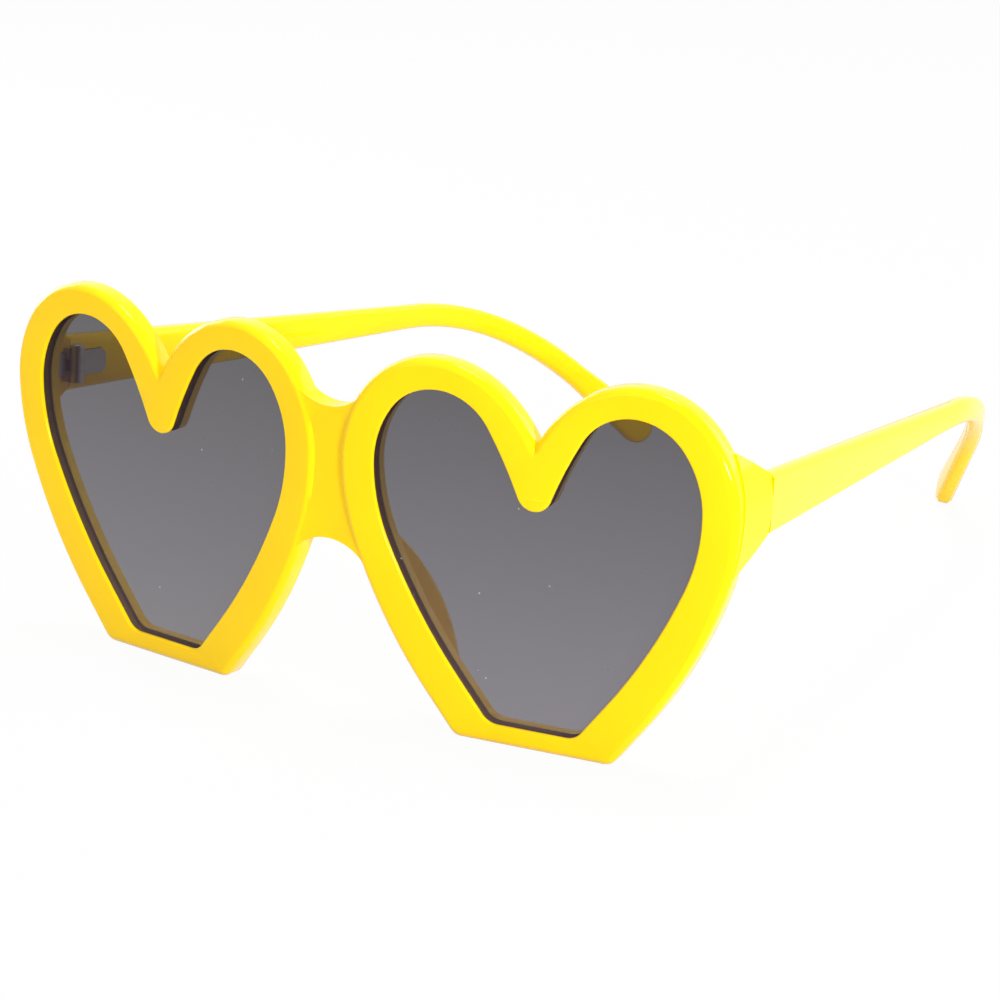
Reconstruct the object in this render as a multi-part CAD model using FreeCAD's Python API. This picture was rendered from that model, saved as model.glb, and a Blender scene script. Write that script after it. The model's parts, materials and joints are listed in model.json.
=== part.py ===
import FreeCAD, Part
import math
import os

# Heart shaped sunglasses, standing open on a table.
# Lengths are in millimetres and angles in degrees.
# X runs to the wearer's left, Y to the back of the head and Z up from the table.

# Heart windows, each measured in its own flat face, which is angled back from the nose
heart_spacing = 74.2
face_angle = 6.5
window_width = 56.9
window_top = 57.6
window_bottom = 3.4
window_tip_width = 15.4
window_tip_radius = 3.5
widest_height = 43.8
lobe_spacing = 34.0
dip_height = 40.2
dip_flare = 22.0
leg_lean = 38.4
leg_straight = 7.0
lobe_bend_share = 0.5
leg_bend_share = 0.34

# Heart rims
rim_width_top = 4.9
rim_width_side = 6.1
rim_width_leg = 6.9
rim_lobe_spacing = 35.5
rim_depth = 4.2
cusp_height = 50.7
cusp_flare = 27.0
foot_corner_radius = 2.5
front_edge_bevel = 0.9
front_edge_break = 0.3
back_edge_bevel = 0.5
window_edge_bevel = 0.3

# Lenses and the groove that holds them
lens_thickness = 1.8
lens_dip_radius = 2.2
lens_play = 0.05
front_lip = 0.7
groove_depth = 0.8

# Bridge
bridge_step = 1.1
bridge_depth = 3.6
bridge_top = 52.0
bridge_top_radius = 9.0
bridge_dish = 4.3
bridge_bottom = 29.8
bridge_bottom_radius = 9.2
bridge_arch = 4.2

# Nose pads, moulded on behind the rims beside the nose
pad_top = 35.0
pad_foot = 2.0
pad_rise = 7.0
pad_thickness = 2.2
pad_sink = 1.6
pad_splay = 26.0
pad_bevel = 0.6

# Endpieces, which wrap back to the hinges
hinge_height = 43.9
hinge_setback = 18.7
endpiece_width = 71.2
endpiece_rise = 4.2
endpiece_drop = 5.6
endpiece_round = 0.8
rim_tie_share = 0.33

# Temples, which bend down and inwards behind the ears
temple_thickness = 3.0
temple_height = 9.8
temple_neck_height = 4.4
temple_straight = 92.6
temple_toe_in = 7.2
temple_bevel = 0.7
ear_bend_radius = 58.5
ear_bend_turn = 45.5
ear_bend_tilt = 32.7
ear_end_length = 17.5
ear_end_height = 6.6
seam_gap = 0.1

# Hinges
barrel_radius = 1.4
barrel_height = 6.0
barrel_gap = 0.06
barrel_clearance = 0.25
leaf_height = 4.3
leaf_thickness = 1.0
leaf_seat_depth = 0.4
leaf_play = 0.05
front_leaf_length = 4.0
temple_leaf_length = 6.4
leaf_corner_bevel = 0.9
screw_radius = 0.6
screw_fit = 0.05
screw_head_radius = 1.15
screw_head_height = 0.6

# How far cutters and overlapping pieces run past what they cut or join
overrun = 2.0

# Part of the rims' depth that counts as touching when edges are picked out
touching_share = 0.0002

Vector = FreeCAD.Vector
left = Vector(1, 0, 0)
back = Vector(0, 1, 0)
up = Vector(0, 0, 1)
middle = Vector(0, 0, 0)
touching = touching_share * rim_depth


def leaning(lean):
    """Unit vector in the front view that leans from upright towards the wearer's left."""
    return left * math.sin(math.radians(lean)) + up * math.cos(math.radians(lean))


def line(start, end):
    """Straight edge."""
    return Part.LineSegment(start, end).toShape()


def arc_from(start, direction, end):
    """Arc that leaves start along direction and stops at end."""
    chord = end - start
    along = Vector(chord).normalize()
    across = direction - along * direction.dot(along)
    if across.Length < 1e-6:
        return line(start, end)
    bulge = chord.Length / 2 * math.tan(direction.getAngle(chord) / 2)
    return Part.Arc(start, (start + end) / 2 + across.normalize() * bulge, end).toShape()


def biarc(start, start_direction, end, end_direction, share):
    """Two arcs that run smoothly from one point and direction to another."""
    ratio = (1 - share) / share
    gap = end - start
    spread = 2 * ratio * (1 - start_direction.dot(end_direction))
    run = 2 * (gap.dot(start_direction) + ratio * gap.dot(end_direction))
    reach = 2 * gap.dot(gap) / (run + math.sqrt(run * run + 4 * spread * gap.dot(gap)))
    first = start + start_direction * reach
    second = end - end_direction * (reach * ratio)
    joint = first * (1 - share) + second * share
    return [arc_from(start, start_direction, joint), arc_from(joint, (second - first).normalize(), end)]


def half_heart(dip_end, flare, lobe_half, top, half_width, tip_half, bottom, corner):
    """Half a heart outline in the front view, from beside its dip round to its cut-off tip."""
    lobe = left * lobe_half + up * top
    widest = left * half_width + up * widest_height
    leg = leaning(leg_lean) * -1
    tip = left * tip_half + up * bottom
    corner_run = corner * math.tan(math.radians(90 - leg_lean) / 2)
    leg_end = tip - leg * corner_run
    leg_start = leg_end - leg * leg_straight
    edges = biarc(dip_end, leaning(flare), lobe, left, lobe_bend_share)
    edges += biarc(lobe, left, widest, up * -1, lobe_bend_share)
    edges += biarc(widest, up * -1, leg_start, leg, leg_bend_share)
    edges += [line(leg_start, leg_end), arc_from(leg_end, leg, tip - left * corner_run)]
    return edges


def end_of(edges):
    """Where a run of edges stops."""
    return edges[-1].Vertexes[-1].Point


def window_face(grow):
    """Lens window of a heart about its own axis, grown evenly by grow."""
    lean = math.radians(leg_lean)
    flare = math.radians(dip_flare)
    dip = up * (dip_height + grow)
    radius = lens_dip_radius + groove_depth - grow
    dip_end = dip + left * (radius * math.cos(flare)) + up * (radius * (1 - math.sin(flare)))
    edges = [arc_from(dip, left, dip_end)]
    edges += half_heart(
        dip_end,
        dip_flare,
        lobe_spacing / 2,
        window_top + grow,
        window_width / 2 + grow,
        window_tip_width / 2 + grow / math.cos(lean) - grow * math.tan(lean),
        window_bottom - grow,
        window_tip_radius + grow,
    )
    edges += [line(end_of(edges), up * (window_bottom - grow))]
    edges += [edge.mirror(middle, left) for edge in edges]
    face = Part.Face(Part.Wire(Part.__sortEdges__(edges)))
    face.translate(left * (heart_spacing / 2))
    return face


def rim_edges():
    """Outer outline of half a heart about its own axis, from the cusp to its foot."""
    lean = math.radians(leg_lean)
    return half_heart(
        up * cusp_height,
        cusp_flare,
        rim_lobe_spacing / 2,
        window_top + rim_width_top,
        window_width / 2 + rim_width_side,
        window_tip_width / 2 + rim_width_leg / math.cos(lean) - window_bottom * math.tan(lean),
        0,
        foot_corner_radius,
    )


def half_rim_face():
    """Half a heart about its own axis, run on past the axis so that two halves overlap."""
    edges = rim_edges()
    lap = front_edge_bevel + overrun
    foot_end = left * -lap
    flank_end = up * cusp_height - leaning(cusp_flare) * (lap / math.sin(math.radians(cusp_flare)))
    edges += [line(end_of(edges), foot_end), line(foot_end, flank_end), line(flank_end, up * cusp_height)]
    return Part.Face(Part.Wire(edges))


def through(face):
    """Prism that carries an outline back through the whole front."""
    prism = face.extrude(back * (rim_depth + 2 * overrun))
    prism.translate(back * -overrun)
    return prism


def sheet(face, front, rear):
    """Prism of an outline between two depths behind the front face."""
    prism = face.extrude(back * (rear - front))
    prism.translate(back * front)
    return prism


def edges_between(shape, front, rear):
    """Edges that lie between two depths and aren't upright."""
    found = []
    for edge in shape.Edges:
        box = edge.BoundBox
        if box.YMin > front - touching and box.YMax < rear + touching and box.XLength > touching:
            found.append(edge)
    return found


def angled(shape):
    """Turns the wearer's left heart back from the nose."""
    shape.rotate(middle, up, face_angle)
    return shape


def mirrored(shape):
    """The same shape on the wearer's right."""
    return shape.mirror(middle, left)


def rim_half(face):
    """Half of the wearer's left heart as a plate with softened edges."""
    face.translate(left * (heart_spacing / 2))
    plate = sheet(face, 0, rim_depth)
    plate = plate.makeChamfer(front_edge_bevel, edges_between(plate, 0, 0))
    for depth in (0, front_edge_bevel):
        plate = plate.makeChamfer(front_edge_break, edges_between(plate, depth, depth))
    return plate.makeChamfer(back_edge_bevel, edges_between(plate, rim_depth, rim_depth))


def rim():
    """Wearer's left rim: two rounded lobes that meet in a sharp cusp, a window and a lens groove."""
    plate = rim_half(half_rim_face()).fuse(rim_half(half_rim_face().mirror(middle, left)))
    groove = sheet(window_face(groove_depth), front_lip, front_lip + lens_thickness + lens_play)
    plate = plate.cut(through(window_face(0))).cut(groove)
    edges = [edge for edge in edges_between(plate, 0, 0) if near_window(edge)]
    return plate.makeChamfer(window_edge_bevel, edges)


def bridge():
    """Bridge between the windows, set back a little, with a dished top and an arched underside."""
    half = heart_spacing / 2 - window_width / 2
    low = bridge_bottom - bridge_arch
    corner = left * -half + back * bridge_step + up * low
    web = Part.makeBox(2 * half, bridge_depth, bridge_top + bridge_dish - low, corner)
    dish = across_bridge(bridge_top_radius, bridge_top + bridge_top_radius)
    arch = across_bridge(bridge_bottom_radius, bridge_bottom - bridge_bottom_radius)
    return web.cut(dish).cut(arch)


def across_bridge(radius, height):
    """Round cutter that runs from front to back through the bridge at one height."""
    start = back * (bridge_step - overrun) + up * height
    return Part.makeCylinder(radius, bridge_depth + 2 * overrun, start, back)


def nose_side(height):
    """Point of the wearer's left rim beside the nose, at one height."""
    outline = Part.Wire(rim_edges()).mirror(middle, left)
    outline.translate(left * (heart_spacing / 2))
    level = line(up * height, up * height + left * (heart_spacing / 2))
    return outline.distToShape(level)[1][0][0]


def nose_pad():
    """Pad behind the wearer's left rim: a bowed blade along the leg, splayed away from the nose."""
    top = nose_side(pad_top)
    foot = nose_side(pad_foot)
    half = (top - foot).Length / 2
    bow = Part.Arc(left * -half, back * pad_rise, left * half).toShape()
    blade = Part.Face(Part.Wire([bow, line(left * half, left * -half)])).extrude(up * pad_thickness)
    blade.translate(up * (-pad_thickness / 2))
    rims = [edge for edge in blade.Edges if edge.Length > 2 * half + touching]
    blade = blade.makeChamfer(pad_bevel, rims)
    along = (foot - top).normalize()
    outward = along.cross(back)
    splay = math.radians(pad_splay)
    rearward = back * math.cos(splay) + outward * math.sin(splay)
    root = (top + foot) / 2 + outward * (pad_thickness / 2) + back * (rim_depth - pad_sink)
    turn = FreeCAD.Rotation(along, rearward, along.cross(rearward), "XYZ")
    blade.Placement = FreeCAD.Placement(root, turn)
    return blade


def temple_axes():
    """Directions along, across and up the straight of the wearer's left temple, in the hinge's frame."""
    toe = math.radians(temple_toe_in)
    along = back * math.cos(toe) - left * math.sin(toe)
    return along, along.cross(up), up


def temple_root():
    """Middle of the wearer's left temple at the seam, in the hinge's frame."""
    return left * (endpiece_width - temple_thickness / 2 / math.cos(math.radians(temple_toe_in)))


def ear_bend():
    """Start, centre and axis of the wearer's left ear bend, in the hinge's frame."""
    along, across, tall = temple_axes()
    tilt = math.radians(ear_bend_tilt)
    start = temple_root() + along * temple_straight
    towards = tall * -math.cos(tilt) - across * math.sin(tilt)
    return start, start + towards * ear_bend_radius, along.cross(towards)


def ear_end_place():
    """Placement of the flat ear end, whose X runs along it and whose Y is its thickness."""
    along, across, tall = temple_axes()
    start, centre, axis = ear_bend()
    turn = FreeCAD.Rotation(axis, ear_bend_turn)
    square = FreeCAD.Rotation(along, across, tall, "XYZ")
    return FreeCAD.Placement(centre + turn.multVec(start - centre), turn.multiply(square))


def temple_slope():
    """Downward slope of the temples that stands their round ends on the same table as the rims."""
    place = ear_end_place()
    tip = place.multVec(left * ear_end_length)
    thickness_axis = place.Rotation.multVec(back)
    slope = 0
    for _ in range(9):
        lift = abs(thickness_axis.z * math.cos(slope) - thickness_axis.y * math.sin(slope))
        lean = math.sqrt(1 - lift ** 2)
        rim_reach = ear_end_height / 2 * lean + (temple_thickness / 2 - temple_bevel) * lift
        face_reach = (ear_end_height / 2 - temple_bevel) * lean + temple_thickness / 2 * lift
        fall = hinge_height - max(rim_reach, face_reach)
        slope = math.asin(fall / math.hypot(tip.y, tip.z)) - math.atan2(-tip.z, tip.y)
    return math.degrees(slope)


def on_hinge(shape):
    """Carries a shape from the hinge's own frame, with Z along the pin, to its place on the front."""
    seat = back * hinge_setback + up * hinge_height
    place = FreeCAD.Placement(seat, FreeCAD.Rotation(left, -temple_slope()))
    shape.Placement = place.multiply(shape.Placement)
    return shape


def inner_face():
    """Where the inner faces of endpiece and temple meet the seam, across the front."""
    return endpiece_width - temple_thickness / math.cos(math.radians(temple_toe_in))


def pin_place():
    """Where the hinge pin stands, across the front."""
    return inner_face() - barrel_radius - barrel_clearance


def halfway(edge):
    """Point halfway along an edge."""
    return edge.valueAt((edge.FirstParameter + edge.LastParameter) / 2)


def long_edges(bar, plain):
    """Edges along a bar, without those that lie across it in its plain end faces."""
    ends = [edge for face in bar.Faces if plain(face) for edge in face.Edges]
    kept = [edge for edge in bar.Edges if not any(edge.isSame(end) for end in ends)]
    return [edge for edge in kept if edge.BoundBox.YLength > touching + edge.BoundBox.XLength]


def crossed(side, plan):
    """Bar whose side view and plan view are given by their corners."""
    tall = temple_height + endpiece_rise + endpiece_drop
    wide = polygon(side).extrude(left * (max(corner.x for corner in plan) + overrun))
    flat = polygon(plan).extrude(up * (2 * tall))
    flat.translate(up * -tall)
    return wide.common(flat).Solids[0]


def polygon(corners):
    """Flat face with straight sides."""
    return Part.Face(Part.makePolygon(corners + corners[:1]))


def rim_place(inset):
    """Point at the front of the wearer's left rim, inset from its outer edge beside the hinge."""
    reach = heart_spacing / 2 + window_width / 2 + rim_width_side - inset
    turn = math.radians(face_angle)
    return left * (reach * math.cos(turn)) + back * (reach * math.sin(turn))


def endpiece_bar(near, far, rear, rise, drop):
    """Bar in the hinge's frame from inside the rim back to rear, which grows by rise and drop at the rim."""
    half = temple_height / 2
    front = rim_place(0).y + rim_depth / 2 - hinge_setback
    low = Vector(0, front, -half - drop)
    high = Vector(0, front, half + rise)
    side = [back * rear + up * half, back * rear - up * half, low, high]
    plan = [Vector(x, y, 0) for x, y in ((near, rear), (far, rear), (far, front), (near, front))]
    return crossed(side, plan)


def endpiece():
    """Wearer's left endpiece: it runs from the seam to the rim and widens there, flush with its outline."""
    rim_side = rim_place(rim_width_side * rim_tie_share).x
    near = inner_face()
    far = max(endpiece_width, rim_side)
    clear_of_leaf = -barrel_radius - barrel_clearance - front_leaf_length - leaf_play
    bar = endpiece_bar(near, far, 0, endpiece_rise, endpiece_drop)
    bar = bar.makeFillet(endpiece_round, long_edges(bar, upright_end))
    tie = endpiece_bar(min(near, rim_side), far, clear_of_leaf, 0, 0)
    return on_hinge(bar.fuse(tie)).common(rim_wall(far))


def rim_wall(far):
    """Outer outline of the wearer's left heart, carried straight back to the hinge and level with far."""
    face = half_rim_face()
    face.translate(left * (heart_spacing / 2))
    wall = angled(face).extrude(back * (hinge_setback + overrun))
    wall.translate(left * (far - rim_place(0).x))
    return wall


def upright_end(item):
    """Whether a face or an edge lies square to the view from the front."""
    return item.BoundBox.YLength < touching


def temple_straight_bar():
    """Straight of the wearer's left temple in the hinge's frame: it tapers from the seam to a neck."""
    along, across, _ = temple_axes()
    start = ear_bend()[0]
    half = across * (temple_thickness / 2)
    neck = back * (start.y - overrun) + up * (temple_neck_height / 2)
    side = [up * (temple_height / 2), neck, neck + back * (2 * overrun)]
    side += [Vector(corner.x, corner.y, -corner.z) for corner in reversed(side)]
    tail = temple_root() - along * overrun
    bar = crossed(side, [tail + half, start + half, start - half, tail - half])
    tall = temple_height + overrun
    corner = left * pin_place() + back * (seam_gap - overrun) - up * (tall / 2)
    bar = bar.cut(Part.makeBox(endpiece_width, overrun, tall, corner))
    return bar.makeChamfer(temple_bevel, long_edges(bar, upright_end))


def ear_end():
    """Flat end of a temple in its own frame: it widens a little and is rounded off."""
    neck = temple_neck_height / 2
    radius = ear_end_height / 2
    reach = math.hypot(ear_end_length, neck)
    rise = math.asin(radius / reach) - math.atan2(neck, ear_end_length)
    run = math.sqrt(reach ** 2 - radius ** 2)
    shoulder = left * (run * math.cos(rise)) + up * (neck + run * math.sin(rise))
    low_shoulder = Vector(shoulder.x, shoulder.y, -shoulder.z)
    edges = [line(up * -neck, up * neck), line(up * neck, shoulder)]
    edges += [Part.Arc(shoulder, left * (ear_end_length + radius), low_shoulder).toShape()]
    edges += [line(low_shoulder, up * -neck)]
    blade = Part.Face(Part.Wire(edges)).extrude(back * temple_thickness)
    blade.translate(back * (-temple_thickness / 2))
    rims = [edge for edge in blade.Edges if upright_end(edge) and edge.BoundBox.XLength > touching]
    blade = blade.makeChamfer(temple_bevel, rims)
    blade.Placement = ear_end_place()
    return blade


def temple_bar():
    """Wearer's left temple in the hinge's frame, before its hinge seat is cut."""
    _, centre, axis = ear_bend()
    straight = temple_straight_bar()
    neck = max(straight.Faces, key=lambda face: face.CenterOfMass.y)
    bend = neck.revolve(centre, axis, ear_bend_turn)
    return straight.fuse(bend).fuse(ear_end()).removeSplitter()


def leaf_plate(length, inset, grow):
    """Flat of a hinge leaf beside a pin along Z, sunk in a plastic face at inset; grown to cut its seat."""
    start = barrel_radius + barrel_clearance - grow
    proud = leaf_thickness - leaf_seat_depth + grow
    corner = left * (inset - proud) + back * start - up * (leaf_height / 2 + grow)
    plate = Part.makeBox(proud + leaf_seat_depth, length + 2 * grow, leaf_height + 2 * grow, corner)
    across = [edge for edge in plate.Edges if edge.BoundBox.XLength > proud]
    corners = [edge for edge in across if halfway(edge).y > start + length / 2]
    return plate.makeChamfer(leaf_corner_bevel, corners)


def leaf(length, inset, knuckles):
    """Hinge leaf beside a pin along Z: a flat, and knuckles that each carry a barrel on a short web."""
    solid = leaf_plate(length, inset, 0)
    reach = barrel_radius + barrel_clearance
    for low, high in knuckles:
        barrel = Part.makeCylinder(barrel_radius, high - low, up * low)
        web_start = barrel_radius - leaf_thickness
        web = Part.makeBox(inset - leaf_play - web_start, reach, high - low, left * web_start + up * low)
        solid = solid.fuse(barrel).fuse(web)
    bore_foot = up * (-barrel_height / 2 - overrun)
    bore = Part.makeCylinder(screw_radius + screw_fit, barrel_height + 2 * overrun, bore_foot)
    return solid.cut(bore).removeSplitter().Solids[0]


def at_pin(shape):
    """Stands a shape that was made round its own Z axis on the wearer's left hinge pin."""
    shape.translate(left * pin_place())
    return shape


def forward(shape):
    """Turns what runs back from the pin into what runs forward from it."""
    return shape.mirror(middle, back)


def toed_in(shape):
    """Turns what runs straight back from the pin to run along the temple."""
    shape.rotate(middle, up, temple_toe_in)
    return shape


def hinge_screw():
    """Screw that pins the knuckles together, with its head on the top one."""
    shank = Part.makeCylinder(screw_radius, barrel_height, up * (-barrel_height / 2))
    head = Part.makeCylinder(screw_head_radius, screw_head_height, up * (barrel_height / 2))
    return shank.fuse(head).removeSplitter().Solids[0]


def knuckles():
    """Heights of the front leaf's outer knuckles and of the temple leaf's one between them."""
    half = barrel_height / 2
    sixth = barrel_height / 6
    gap = barrel_gap / 2
    return [(sixth + gap, half), (-half, -sixth - gap)], [(-sixth + gap, sixth - gap)]


def left_pieces():
    """Lens, temple and hinge pieces on the wearer's left, and the cutter for the front leaf's seat."""
    front_knuckles, temple_knuckles = knuckles()
    front_inset = inner_face() - pin_place()
    temple_inset = front_inset * math.cos(math.radians(temple_toe_in))
    front_seat = at_pin(forward(leaf_plate(front_leaf_length, front_inset, leaf_play)))
    temple_seat = at_pin(toed_in(leaf_plate(temple_leaf_length, temple_inset, leaf_play)))
    pieces = {
        "temple": temple_bar().cut(temple_seat),
        "front_hinge_leaf": at_pin(forward(leaf(front_leaf_length, front_inset, front_knuckles))),
        "temple_hinge_leaf": at_pin(toed_in(leaf(temple_leaf_length, temple_inset, temple_knuckles))),
        "hinge_screw": at_pin(hinge_screw()),
    }
    pieces = {name: on_hinge(piece) for name, piece in pieces.items()}
    lens = sheet(window_face(groove_depth - lens_play), front_lip, front_lip + lens_thickness)
    pieces["lens"] = angled(lens)
    return pieces, on_hinge(front_seat)


def near_window(edge):
    """Whether a front edge runs along the lens window."""
    point = halfway(edge)
    return window_face(window_edge_bevel).isInside(Vector(point.x, 0, point.z), touching, True)


def frame_front(leaf_seat):
    """One moulding: rims with lens grooves, bridge, endpieces and nose pads."""
    opening = angled(through(window_face(groove_depth)))
    half = angled(rim().fuse(nose_pad())).fuse(endpiece().cut(opening))
    half = half.cut(leaf_seat).cut(mirrored(opening))
    web = bridge().cut(opening).cut(mirrored(opening))
    return half.fuse(mirrored(half)).fuse(web).removeSplitter()


def main():
    """Builds every piece, centres the whole along Y and writes one file per piece."""
    os.makedirs("parts", exist_ok=True)
    pieces, leaf_seat = left_pieces()
    solids = {"frame_front": frame_front(leaf_seat).Solids[0]}
    for name, piece in pieces.items():
        solids[name + "_left"] = piece
        solids[name + "_right"] = mirrored(piece)
    box = Part.makeCompound(list(solids.values())).optimalBoundingBox(False, False)
    shift = back * (-(box.YMin + box.YMax) / 2)
    for name, solid in solids.items():
        solid.translate(shift)
        solid.exportStep("parts/" + name + ".step")


main()
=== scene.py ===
import json
import math

import bmesh
import bpy
from mathutils import Matrix, Vector


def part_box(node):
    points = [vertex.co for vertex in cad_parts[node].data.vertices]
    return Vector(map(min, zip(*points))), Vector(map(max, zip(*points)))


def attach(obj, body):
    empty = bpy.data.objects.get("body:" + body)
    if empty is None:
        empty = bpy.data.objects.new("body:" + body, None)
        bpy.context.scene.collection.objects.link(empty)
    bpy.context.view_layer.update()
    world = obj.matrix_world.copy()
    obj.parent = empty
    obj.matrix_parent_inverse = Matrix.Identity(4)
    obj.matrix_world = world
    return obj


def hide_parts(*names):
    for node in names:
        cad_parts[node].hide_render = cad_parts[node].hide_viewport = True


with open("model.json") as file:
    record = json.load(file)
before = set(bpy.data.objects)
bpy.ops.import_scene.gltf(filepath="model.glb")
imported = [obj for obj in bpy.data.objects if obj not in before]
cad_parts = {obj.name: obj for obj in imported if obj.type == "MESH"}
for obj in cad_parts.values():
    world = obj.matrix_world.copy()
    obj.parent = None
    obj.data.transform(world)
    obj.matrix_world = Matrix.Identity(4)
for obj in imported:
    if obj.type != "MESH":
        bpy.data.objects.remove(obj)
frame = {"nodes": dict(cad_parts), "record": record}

bl_info = {
    "name": "Heart Shaped Sunglasses",
    "version": (1, 0, 0),
    "blender": (4, 5, 0),
    "location": "View3D > Sidebar > Sunglasses",
    "description": "Dresses the sunglasses' solids in their finishes and sets up the studio",
    "category": "Object",
}

SIDES = ("left", "right")
MILLIMETRE = 0.001
WHITE = (1, 1, 1)
DUST_GREY = (0.4, 0.4, 0.4)
HINGE_ROUGHNESS = 0.28
SCREW_ROUGHNESS = 0.18
SCREW_STEPS = 12
SCREW_TURNS = (0.35, 1.3)
SHARP_ANGLE = math.radians(50)
EASED_ANGLE = math.radians(40)
MERGE_DISTANCE = 0.002 * MILLIMETRE
FLOOR_SIZE = 3.0
SENSOR_WIDTH = 36
CLIP_START = 0.01
# Each lamp's name, place, target and size; its power is the studio's setting of that name.
LAMPS = (
    ("key", (0.5, -0.26, 0.16), (0.02, -0.07, 0.04), 0.1),
    ("overhead", (0.05, 0.05, 0.8), (0, 0, 0), 0.26),
    ("front", (-0.25, -0.7, 0.25), (-0.02, -0.07, 0.03), 0.4),
    ("back", (0.4, 0.5, 0.3), (0, 0, 0.03), 0.4),
    ("side", (-0.5, 0.1, 0.2), (0.03, 0.05, 0.02), 0.3),
)
SEEN_RAYS = ("Is Camera Ray", "Is Glossy Ray", "Is Transmission Ray")
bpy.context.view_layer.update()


class Wire:
    """A shader socket that Python arithmetic works on."""

    def __init__(self, finish, socket):
        self.finish = finish
        self.socket = socket

    def math(self, operation, first, second):
        """Adds one Math node."""
        return self.finish.node("ShaderNodeMath", {"operation": operation}, {0: first, 1: second})

    def __add__(self, other):
        return self.math("ADD", self, other)

    def __radd__(self, other):
        return self.math("ADD", other, self)

    def __sub__(self, other):
        return self.math("SUBTRACT", self, other)

    def __mul__(self, other):
        return self.math("MULTIPLY", self, other)

    def __rmul__(self, other):
        return self.math("MULTIPLY", other, self)

    def most(self, other):
        """The larger of two values."""
        return self.math("MAXIMUM", self, other)


class Finish:
    """A material, or the studio's sky, under construction."""

    def __init__(self, owner):
        self.owner = owner
        owner.use_nodes = True
        self.tree = owner.node_tree
        self.tree.nodes.clear()

    def node(self, kind, settings=None, inputs=None, output=0):
        """Adds a node, sets it up, fills its sockets and returns one of its outputs."""
        node = self.tree.nodes.new(kind)
        for name, value in (settings or {}).items():
            if name == "stops":
                self.set_stops(node.color_ramp, value)
            else:
                setattr(node, name, value)
        for name, value in (inputs or {}).items():
            self.fill(node.inputs[name], value)
        return Wire(self, node.outputs[output]) if node.outputs else None

    def set_stops(self, ramp, stops):
        """Gives a colour ramp its stops, as positions with grey levels."""
        while len(ramp.elements) < len(stops):
            ramp.elements.new(1)
        for element, (position, level) in zip(ramp.elements, stops):
            element.position = position
            element.color = (level, level, level, 1)

    def fill(self, socket, value):
        """Links a wire to a socket, or sets the socket's own value."""
        if isinstance(value, Wire):
            self.tree.links.new(value.socket, socket)
        elif socket.type == "RGBA":
            socket.default_value = (*value[:3], 1)
        else:
            socket.default_value = value

    def place(self):
        """Place on the object, in metres."""
        return self.node("ShaderNodeTexCoord", output="Object")

    def stretched(self, place, scale):
        """The same place with its axes scaled."""
        settings = {"operation": "MULTIPLY"}
        return self.node("ShaderNodeVectorMath", settings, {0: place, 1: scale})

    def noise(self, place, scale, detail):
        """Soft noise between 0 and 1, with its scale in waves per metre."""
        inputs = {"Vector": place, "Scale": scale, "Detail": detail}
        return self.node("ShaderNodeTexNoise", {}, inputs, output="Fac")

    def ramp(self, value, stops):
        """Grey level that a value is turned into."""
        return self.node("ShaderNodeValToRGB", {"stops": stops}, {"Fac": value})

    def mix(self, share, first, second):
        """One colour turned into another."""
        settings = {"data_type": "RGBA"}
        return self.node("ShaderNodeMix", settings, {0: share, 6: first, 7: second}, output=2)

    def bump(self, height, strength, distance):
        """Surface normal over small heights."""
        inputs = {"Height": height, "Strength": strength, "Distance": distance}
        return self.node("ShaderNodeBump", {}, inputs)

    def seen(self):
        """1 for the rays that show a background to the eye: straight on, in gloss and through glass."""
        straight, gloss, glass = [self.node("ShaderNodeLightPath", output=name) for name in SEEN_RAYS]
        return straight.most(gloss).most(glass)

    def finished(self, inputs):
        """Ends the material in one shader with these inputs."""
        return self.shown(self.node("ShaderNodeBsdfPrincipled", {}, inputs))

    def shown(self, shader):
        """Ends the material in a shader."""
        self.node("ShaderNodeOutputMaterial", {}, {"Surface": shader})
        return self.owner


def new_finish(name):
    """A material with nothing in it yet."""
    return Finish(bpy.data.materials.new(name))


class SunglassesFinishes(bpy.types.PropertyGroup):
    """Colours and gloss of the sunglasses."""

    yellow: bpy.props.FloatVectorProperty(
        name="Yellow", description="Colour of the moulded plastic", subtype="COLOR",
        default=(1.0, 0.66, 0.002), min=0, max=1,
    )
    deep_yellow: bpy.props.FloatVectorProperty(
        name="Deep Yellow", description="Colour where the plastic flowed thicker", subtype="COLOR",
        default=(1.0, 0.62, 0.001), min=0, max=1,
    )
    plastic_roughness: bpy.props.FloatProperty(
        name="Plastic Roughness", description="Roughness of the polished plastic", subtype="FACTOR",
        default=0.13, min=0, max=1,
    )
    lens_tint: bpy.props.FloatVectorProperty(
        name="Lens Tint", description="Colour of the dye in the lenses", subtype="COLOR",
        default=(0.009, 0.004, 0.014), min=0, max=1,
    )
    lens_haze: bpy.props.FloatVectorProperty(
        name="Lens Haze", description="Colour that the lenses fade to at the bottom", subtype="COLOR",
        default=(0.066, 0.050, 0.080), min=0, max=1,
    )
    lens_top: bpy.props.FloatProperty(
        name="Lens Top", description="How much each lens face hides at its top", subtype="FACTOR",
        default=0.64, min=0, max=1,
    )
    lens_bottom: bpy.props.FloatProperty(
        name="Lens Bottom", description="How much each lens face hides at its bottom", subtype="FACTOR",
        default=0.55, min=0, max=1,
    )
    hinge_metal: bpy.props.FloatVectorProperty(
        name="Hinge Metal", description="Colour of the hinge leaves", subtype="COLOR",
        default=(0.60, 0.58, 0.55), min=0, max=1,
    )
    screw_metal: bpy.props.FloatVectorProperty(
        name="Screw Metal", description="Colour of the hinge screws", subtype="COLOR",
        default=(0.74, 0.73, 0.71), min=0, max=1,
    )


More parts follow.
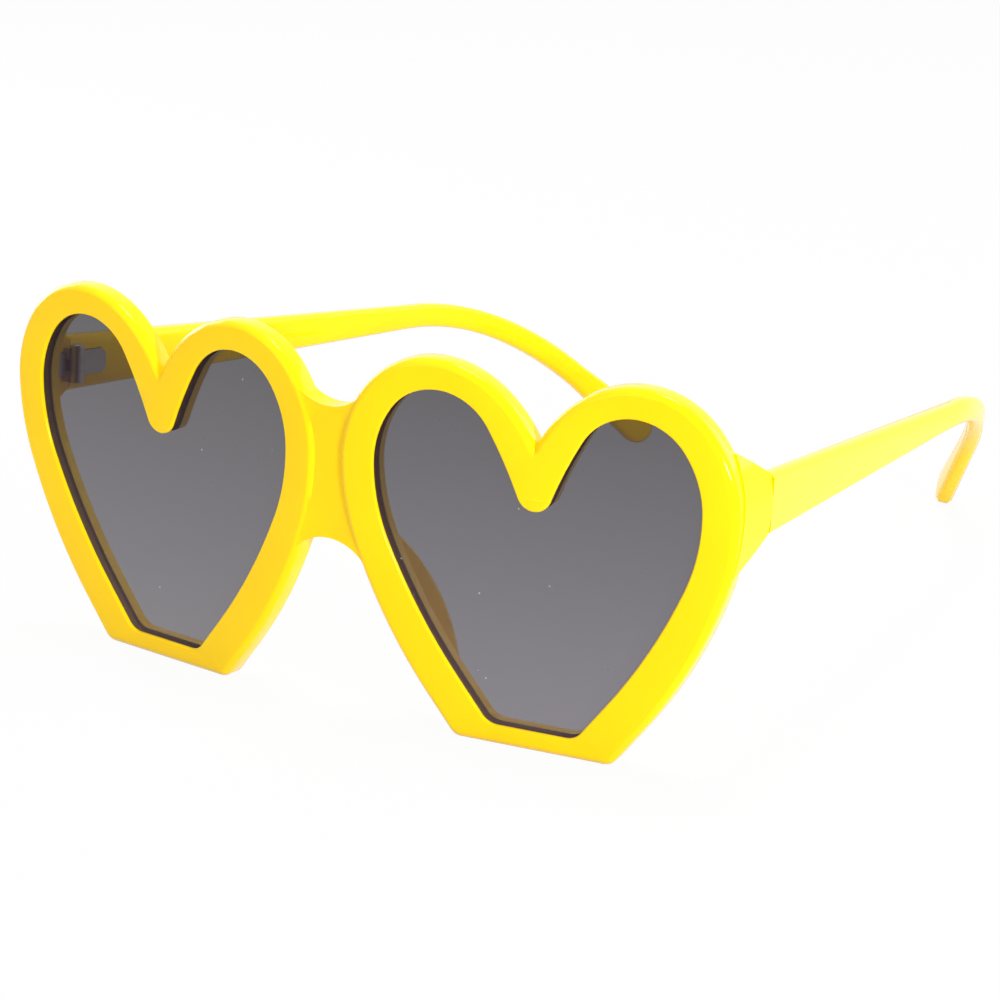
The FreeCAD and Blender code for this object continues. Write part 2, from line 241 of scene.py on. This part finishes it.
class SunglassesScrews(bpy.types.PropertyGroup):
    """Sizes of the hinge screws."""

    length: bpy.props.FloatProperty(
        name="Shank Length", description="Length of the shank through the knuckles", unit="LENGTH",
        default=6 * MILLIMETRE, min=0,
    )
    radius: bpy.props.FloatProperty(
        name="Shank Radius", description="Radius of the shank", unit="LENGTH",
        default=0.6 * MILLIMETRE, min=0,
    )
    head_radius: bpy.props.FloatProperty(
        name="Head Radius", description="Radius of the head", unit="LENGTH",
        default=1.15 * MILLIMETRE, min=0,
    )
    head_height: bpy.props.FloatProperty(
        name="Head Height", description="Height of the head", unit="LENGTH",
        default=0.6 * MILLIMETRE, min=0,
    )
    slot_width: bpy.props.FloatProperty(
        name="Slot Width", description="Width of the slot in the head", unit="LENGTH",
        default=0.36 * MILLIMETRE, min=0,
    )
    slot_depth: bpy.props.FloatProperty(
        name="Slot Depth", description="Depth of the slot in the head", unit="LENGTH",
        default=0.32 * MILLIMETRE, min=0,
    )


class SunglassesStudio(bpy.types.PropertyGroup):
    """Camera, lamps and floor."""

    azimuth: bpy.props.FloatProperty(
        name="Azimuth", description="Turn of the camera to the wearer's left", subtype="ANGLE",
        default=math.radians(32.744),
    )
    elevation: bpy.props.FloatProperty(
        name="Elevation", description="Angle of the camera above the table", subtype="ANGLE",
        default=math.radians(18.086),
    )
    roll: bpy.props.FloatProperty(
        name="Roll", description="Tilt of the camera about its own view", subtype="ANGLE",
        default=math.radians(0.624),
    )
    distance: bpy.props.FloatProperty(
        name="Distance", description="From the camera to the point it looks at", unit="LENGTH",
        default=0.52813,
    )
    target: bpy.props.FloatVectorProperty(
        name="Target", description="Point that the camera looks at", subtype="TRANSLATION",
        default=(0.03274, -0.079898, 0.0423),
    )
    focal_length: bpy.props.FloatProperty(
        name="Focal Length", description="Focal length of the camera in millimetres", default=122.42,
    )
    sky: bpy.props.FloatProperty(
        name="Sky", description="Strength of the soft light from all round", default=0.6,
    )
    key: bpy.props.FloatProperty(
        name="Key", description="Power of the lamp on the wearer's left", unit="POWER", default=2.6,
    )
    overhead: bpy.props.FloatProperty(
        name="Overhead", description="Power of the lamp overhead", unit="POWER", default=4.1,
    )
    front: bpy.props.FloatProperty(
        name="Front", description="Power of the lamp in front", unit="POWER", default=0.75,
    )
    back: bpy.props.FloatProperty(
        name="Back", description="Power of the lamp behind", unit="POWER", default=1.2,
    )
    side: bpy.props.FloatProperty(
        name="Side", description="Power of the lamp on the wearer's right", unit="POWER", default=1.2,
    )
    floor: bpy.props.FloatVectorProperty(
        name="Floor", description="Colour of the floor", subtype="COLOR", default=(0.6, 0.6, 0.6),
        min=0, max=1,
    )
    floor_white: bpy.props.FloatProperty(
        name="Floor White", description="How far the floor shows as plain white", subtype="FACTOR",
        default=0.95, min=0, max=1,
    )


def yellow_plastic(finishes):
    """Polished opaque plastic with faint flow marks, fine scratches and a little orange peel."""
    finish = new_finish("yellow_plastic")
    place = finish.place()
    flow = finish.ramp(finish.noise(place, 38, 3), [(0.35, 0), (0.68, 1)])
    drawn = finish.stretched(place, (1, 0.12, 1))
    scuffs = finish.ramp(finish.noise(drawn, 1900, 2), [(0.62, 0), (0.78, 1)])
    peel = finish.noise(place, 620, 2)
    return finish.finished({
        "Base Color": finish.mix(flow, finishes.yellow, finishes.deep_yellow),
        "Roughness": finishes.plastic_roughness + 0.05 * flow + 0.1 * scuffs,
        "Normal": finish.bump(peel, 0.05, 0.0004),
        "Specular IOR Level": 0.3,
        "Specular Tint": (1.0, 0.74, 0.1),
        "Coat Weight": 0.18,
        "Coat Roughness": 0.05,
    })


def grey_lens(finishes, low, high):
    """Dyed clear plastic, a little denser at the top, with a few specks of dust."""
    finish = new_finish("grey_lens")
    place = finish.place()
    height = finish.node("ShaderNodeSeparateXYZ", {}, {"Vector": place}, output="Z")
    rise = (height - low) * (1 / (high - low))
    specks = finish.node("ShaderNodeTexVoronoi", {}, {"Vector": place, "Scale": 260}, output="Distance")
    patches = finish.ramp(finish.noise(place, 90, 1), [(0.45, 0), (0.5, 1)])
    dust = finish.ramp(specks, [(0.03, 1), (0.05, 0)]) * patches
    density = finishes.lens_bottom + (finishes.lens_top - finishes.lens_bottom) * rise
    smear = finish.noise(finish.stretched(place, (1, 1, 0.5)), 120, 3)
    shade = finish.mix(rise, finishes.lens_haze, finishes.lens_tint)
    return finish.finished({
        "Base Color": finish.mix(dust, shade, DUST_GREY),
        "Alpha": density + 0.2 * dust,
        "Roughness": 0.02 + 0.03 * smear + 0.3 * dust,
        "Specular IOR Level": 0.08,
    })


def brushed_metal(name, colour, roughness):
    """Stamped metal with a fine drawn grain."""
    finish = new_finish(name)
    place = finish.place()
    grain = finish.noise(finish.stretched(place, (1, 0.05, 1)), 5200, 2)
    wear = finish.noise(place, 900, 3)
    dull = tuple(0.72 * level for level in colour)
    return finish.finished({
        "Base Color": finish.mix(wear, colour, dull),
        "Metallic": 1.0,
        "Roughness": roughness + 0.18 * grain,
        "Normal": finish.bump(grain, 0.15, 0.00004),
    })


def smoothing_group():
    """Modifier that joins a solid's faces and shades all but its sharp corners smoothly."""
    group = bpy.data.node_groups.new("smoothing", "GeometryNodeTree")
    group.interface.new_socket("Geometry", in_out="INPUT", socket_type="NodeSocketGeometry")
    group.interface.new_socket("Geometry", in_out="OUTPUT", socket_type="NodeSocketGeometry")
    kinds = (
        "NodeGroupInput", "GeometryNodeMergeByDistance", "GeometryNodeRemoveAttribute",
        "GeometryNodeSetShadeSmooth", "GeometryNodeSetShadeSmooth", "NodeGroupOutput",
    )
    chain = [group.nodes.new(kind) for kind in kinds]
    for before, after in zip(chain, chain[1:]):
        group.links.new(before.outputs[0], after.inputs[0])
    _, merge, forget, soft, sharp, _ = chain
    merge.inputs["Distance"].default_value = MERGE_DISTANCE
    forget.inputs["Name"].default_value = "custom_normal"
    soft.domain = "FACE"
    soft.inputs["Shade Smooth"].default_value = True
    sharp.domain = "EDGE"
    sharp.inputs["Shade Smooth"].default_value = False
    angle = group.nodes.new("GeometryNodeInputMeshEdgeAngle")
    compare = group.nodes.new("FunctionNodeCompare")
    compare.operation = "GREATER_THAN"
    group.links.new(angle.outputs["Unsigned Angle"], compare.inputs["A"])
    compare.inputs["B"].default_value = SHARP_ANGLE
    group.links.new(compare.outputs["Result"], sharp.inputs["Selection"])
    return group


def dress(node, material):
    """Gives a solid its finish, and smooth shading over its softened edges."""
    item = frame["nodes"][node]
    item.data.materials.clear()
    item.data.materials.append(material)
    smoothing = item.modifiers.new("smoothing", "NODES")
    smoothing.node_group = bpy.data.node_groups.get("smoothing") or smoothing_group()
    normals = item.modifiers.new("normals", "WEIGHTED_NORMAL")
    normals.keep_sharp = True
    return item


def screw_faces(mesh, screws):
    """Closed skin of a screw with a slot across its head, with the middle of its shank at the origin."""
    corner = math.asin(screws.slot_width / 2 / screws.head_radius)
    last = SCREW_STEPS - 1
    sweep = [corner + (math.pi - 2 * corner) * step / last for step in range(SCREW_STEPS)]
    turns = sweep + [math.pi + angle for angle in sweep]
    brim = screws.length / 2

    def ring(radius, height):
        places = [(radius * math.cos(angle), radius * math.sin(angle), height) for angle in turns]
        return [mesh.verts.new(place) for place in places]

    rings = [
        ring(0.8 * screws.radius, -brim),
        ring(screws.radius, 0.2 * screws.radius - brim),
        ring(screws.radius, brim),
        ring(screws.head_radius, brim),
    ]
    mesh.faces.new(rings[0])
    for lower, upper in zip(rings, rings[1:]):
        for step in range(len(turns)):
            mesh.faces.new((lower[step - 1], lower[step], upper[step], upper[step - 1]))
    skirt = rings[-1]
    crown = ring(screws.head_radius, brim + screws.head_height)
    drop = Vector((0, 0, screws.slot_depth))
    floor = [mesh.verts.new(crown[step].co - drop) for step in (0, last, last + 1, -1)]
    mesh.faces.new(floor)
    for start, near, far in ((0, *floor[:2]), (SCREW_STEPS, *floor[2:])):
        end = start + last
        mesh.faces.new(crown[start:end + 1])
        mesh.faces.new((near, far, crown[end], crown[start]))
        across = floor[(end + 1) // SCREW_STEPS * 2 % len(floor)]
        mesh.faces.new((skirt[end], skirt[end + 1 - len(turns)], across, far))
        for step in range(start, end):
            side = [skirt[step], skirt[step + 1], crown[step + 1], crown[step]]
            if step == start:
                side.append(near)
            if step == end - 1:
                side.insert(2, far)
            mesh.faces.new(side)
    bmesh.ops.recalc_face_normals(mesh, faces=mesh.faces)


def slotted_screw(name, screws, place, up, turn):
    """Screw in its hinge, with its slot turned by an angle and its edges eased."""
    skin = bmesh.new()
    screw_faces(skin, screws)
    for face in skin.faces:
        face.smooth = True
    data = bpy.data.meshes.new(name)
    skin.to_mesh(data)
    skin.free()
    stand = up.to_track_quat("Z", "Y").to_matrix() @ Matrix.Rotation(turn, 3, "Z")
    data.transform(Matrix.Translation(place) @ stand.to_4x4())
    item = bpy.data.objects.new(name, data)
    bpy.context.collection.objects.link(item)
    eased = item.modifiers.new("eased", "BEVEL")
    eased.width = screws.slot_width / 5
    eased.segments = 2
    eased.limit_method = "ANGLE"
    eased.angle_limit = EASED_ANGLE
    eased.harden_normals = True
    return item


class SUNGLASSES_OT_mouldings(bpy.types.Operator):
    """Finishes the front and the temples in yellow plastic"""

    bl_idname = "sunglasses.mouldings"
    bl_label = "Finish Mouldings"

    def execute(self, context):
        material = yellow_plastic(context.scene.sunglasses_finishes)
        dress("frame_front", material)
        for side in SIDES:
            dress("temple_" + side, material)
        return {"FINISHED"}


class SUNGLASSES_OT_lenses(bpy.types.Operator):
    """Tints the lenses"""

    bl_idname = "sunglasses.lenses"
    bl_label = "Tint Lenses"

    def execute(self, context):
        low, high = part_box("lens_left")
        material = grey_lens(context.scene.sunglasses_finishes, low.z, high.z)
        for side in SIDES:
            dress("lens_" + side, material)
        return {"FINISHED"}


class SUNGLASSES_OT_hinges(bpy.types.Operator):
    """Finishes the hinge leaves in metal"""

    bl_idname = "sunglasses.hinges"
    bl_label = "Finish Hinges"

    def execute(self, context):
        finishes = context.scene.sunglasses_finishes
        leaves = brushed_metal("hinge_metal", finishes.hinge_metal, HINGE_ROUGHNESS)
        for side in SIDES:
            dress("front_hinge_leaf_" + side, leaves)
            dress("temple_hinge_leaf_" + side, leaves)
        return {"FINISHED"}


class SUNGLASSES_OT_screws(bpy.types.Operator):
    """Puts a slotted screw in each hinge"""

    bl_idname = "sunglasses.screws"
    bl_label = "Fit Screws"

    def execute(self, context):
        finishes = context.scene.sunglasses_finishes
        screws = context.scene.sunglasses_screws
        material = brushed_metal("screw_metal", finishes.screw_metal, SCREW_ROUGHNESS)
        joints = {joint["name"]: joint for joint in frame["record"]["behaviour"]["joints"]}
        up = Vector(joints["left_temple_fold"]["axis"])
        for side, turn in zip(SIDES, SCREW_TURNS):
            place = Vector(joints[side + "_temple_fold"]["pos_m"])
            screw = slotted_screw("slotted_screw_" + side, screws, place, up, turn)
            screw.data.materials.append(material)
            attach(screw, "front")
            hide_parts("hinge_screw_" + side)
        return {"FINISHED"}


def add_lamp(name, place, target, size, power):
    """Square soft lamp aimed at a point."""
    lamp = bpy.data.lights.new(name, "AREA")
    lamp.energy = power
    lamp.size = size
    item = bpy.data.objects.new(name, lamp)
    bpy.context.collection.objects.link(item)
    item.location = place
    item.rotation_euler = (Vector(target) - Vector(place)).to_track_quat("-Z", "Y").to_euler()


def add_camera(studio):
    """Camera at the photograph's angle."""
    azimuth, elevation = studio.azimuth, studio.elevation
    right = Vector((math.cos(azimuth), math.sin(azimuth), 0))
    back = Vector((
        math.sin(azimuth) * math.cos(elevation),
        -math.cos(azimuth) * math.cos(elevation),
        math.sin(elevation),
    ))
    level = Matrix((right, back.cross(right), back)).transposed()
    turn = level @ Matrix.Rotation(studio.roll, 3, "Z")
    camera = bpy.data.cameras.new("camera")
    camera.lens = studio.focal_length
    camera.sensor_width = SENSOR_WIDTH
    camera.clip_start = CLIP_START
    item = bpy.data.objects.new("camera", camera)
    bpy.context.collection.objects.link(item)
    place = Vector(studio.target) + back * studio.distance
    item.matrix_world = Matrix.Translation(place) @ turn.to_4x4()
    bpy.context.scene.camera = item


def light_sky(strength):
    """Soft light from all round, which the camera, gloss and lenses see as white."""
    world = bpy.data.worlds.new("studio")
    bpy.context.scene.world = world
    finish = Finish(world)
    level = strength + (1 - strength) * finish.seen()
    sky = finish.node("ShaderNodeBackground", {}, {"Color": WHITE, "Strength": level})
    finish.node("ShaderNodeOutputWorld", {}, {"Surface": sky})


def floor_finish(studio):
    """Pale floor that shows as white, with the shadows on it."""
    finish = new_finish("floor")
    finish.owner.cycles.emission_sampling = "NONE"
    plain = finish.node("ShaderNodeBsdfPrincipled", {}, {
        "Base Color": studio.floor, "Roughness": 0.9, "Specular IOR Level": 0.0,
    })
    white = finish.node("ShaderNodeEmission", {}, {"Color": WHITE, "Strength": 1.0})
    share = studio.floor_white * finish.seen()
    return finish.shown(finish.node("ShaderNodeMixShader", {}, {0: share, 1: plain, 2: white}))


class SUNGLASSES_OT_stage(bpy.types.Operator):
    """Sets up the floor, lamps and camera"""

    bl_idname = "sunglasses.stage"
    bl_label = "Set Up Studio"

    def execute(self, context):
        studio = context.scene.sunglasses_studio
        mesh = bpy.data.meshes.new("floor")
        grid = bmesh.new()
        bmesh.ops.create_grid(grid, x_segments=1, y_segments=1, size=FLOOR_SIZE)
        grid.to_mesh(mesh)
        grid.free()
        floor = bpy.data.objects.new("floor", mesh)
        context.collection.objects.link(floor)
        mesh.materials.append(floor_finish(studio))
        light_sky(studio.sky)
        for name, place, target, size in LAMPS:
            add_lamp(name, place, target, size, getattr(studio, name))
        add_camera(studio)
        context.scene.view_settings.view_transform = "Standard"
        return {"FINISHED"}


class SUNGLASSES_PT_tools(bpy.types.Panel):
    """Lists the steps in the sidebar"""

    bl_label = "Sunglasses"
    bl_idname = "SUNGLASSES_PT_tools"
    bl_space_type = "VIEW_3D"
    bl_region_type = "UI"
    bl_category = "Sunglasses"

    def draw(self, context):
        for step in STEPS:
            self.layout.operator(step.bl_idname)
        scene = context.scene
        for group in (scene.sunglasses_finishes, scene.sunglasses_screws, scene.sunglasses_studio):
            for name in group.__annotations__:
                self.layout.prop(group, name)


STEPS = (
    SUNGLASSES_OT_mouldings,
    SUNGLASSES_OT_lenses,
    SUNGLASSES_OT_hinges,
    SUNGLASSES_OT_screws,
    SUNGLASSES_OT_stage,
)
CLASSES = (SunglassesFinishes, SunglassesScrews, SunglassesStudio, *STEPS, SUNGLASSES_PT_tools)


def register():
    """Adds the classes and their settings to Blender."""
    for item in CLASSES:
        bpy.utils.register_class(item)
    bpy.types.Scene.sunglasses_finishes = bpy.props.PointerProperty(type=SunglassesFinishes)
    bpy.types.Scene.sunglasses_screws = bpy.props.PointerProperty(type=SunglassesScrews)
    bpy.types.Scene.sunglasses_studio = bpy.props.PointerProperty(type=SunglassesStudio)


def unregister():
    """Takes them out again."""
    del bpy.types.Scene.sunglasses_studio
    del bpy.types.Scene.sunglasses_screws
    del bpy.types.Scene.sunglasses_finishes
    for item in reversed(CLASSES):
        bpy.utils.unregister_class(item)


def main():
    """Runs every step in order."""
    register()
    bpy.ops.sunglasses.mouldings()
    bpy.ops.sunglasses.lenses()
    bpy.ops.sunglasses.hinges()
    bpy.ops.sunglasses.screws()
    bpy.ops.sunglasses.stage()


if __name__ == "__main__":
    main()
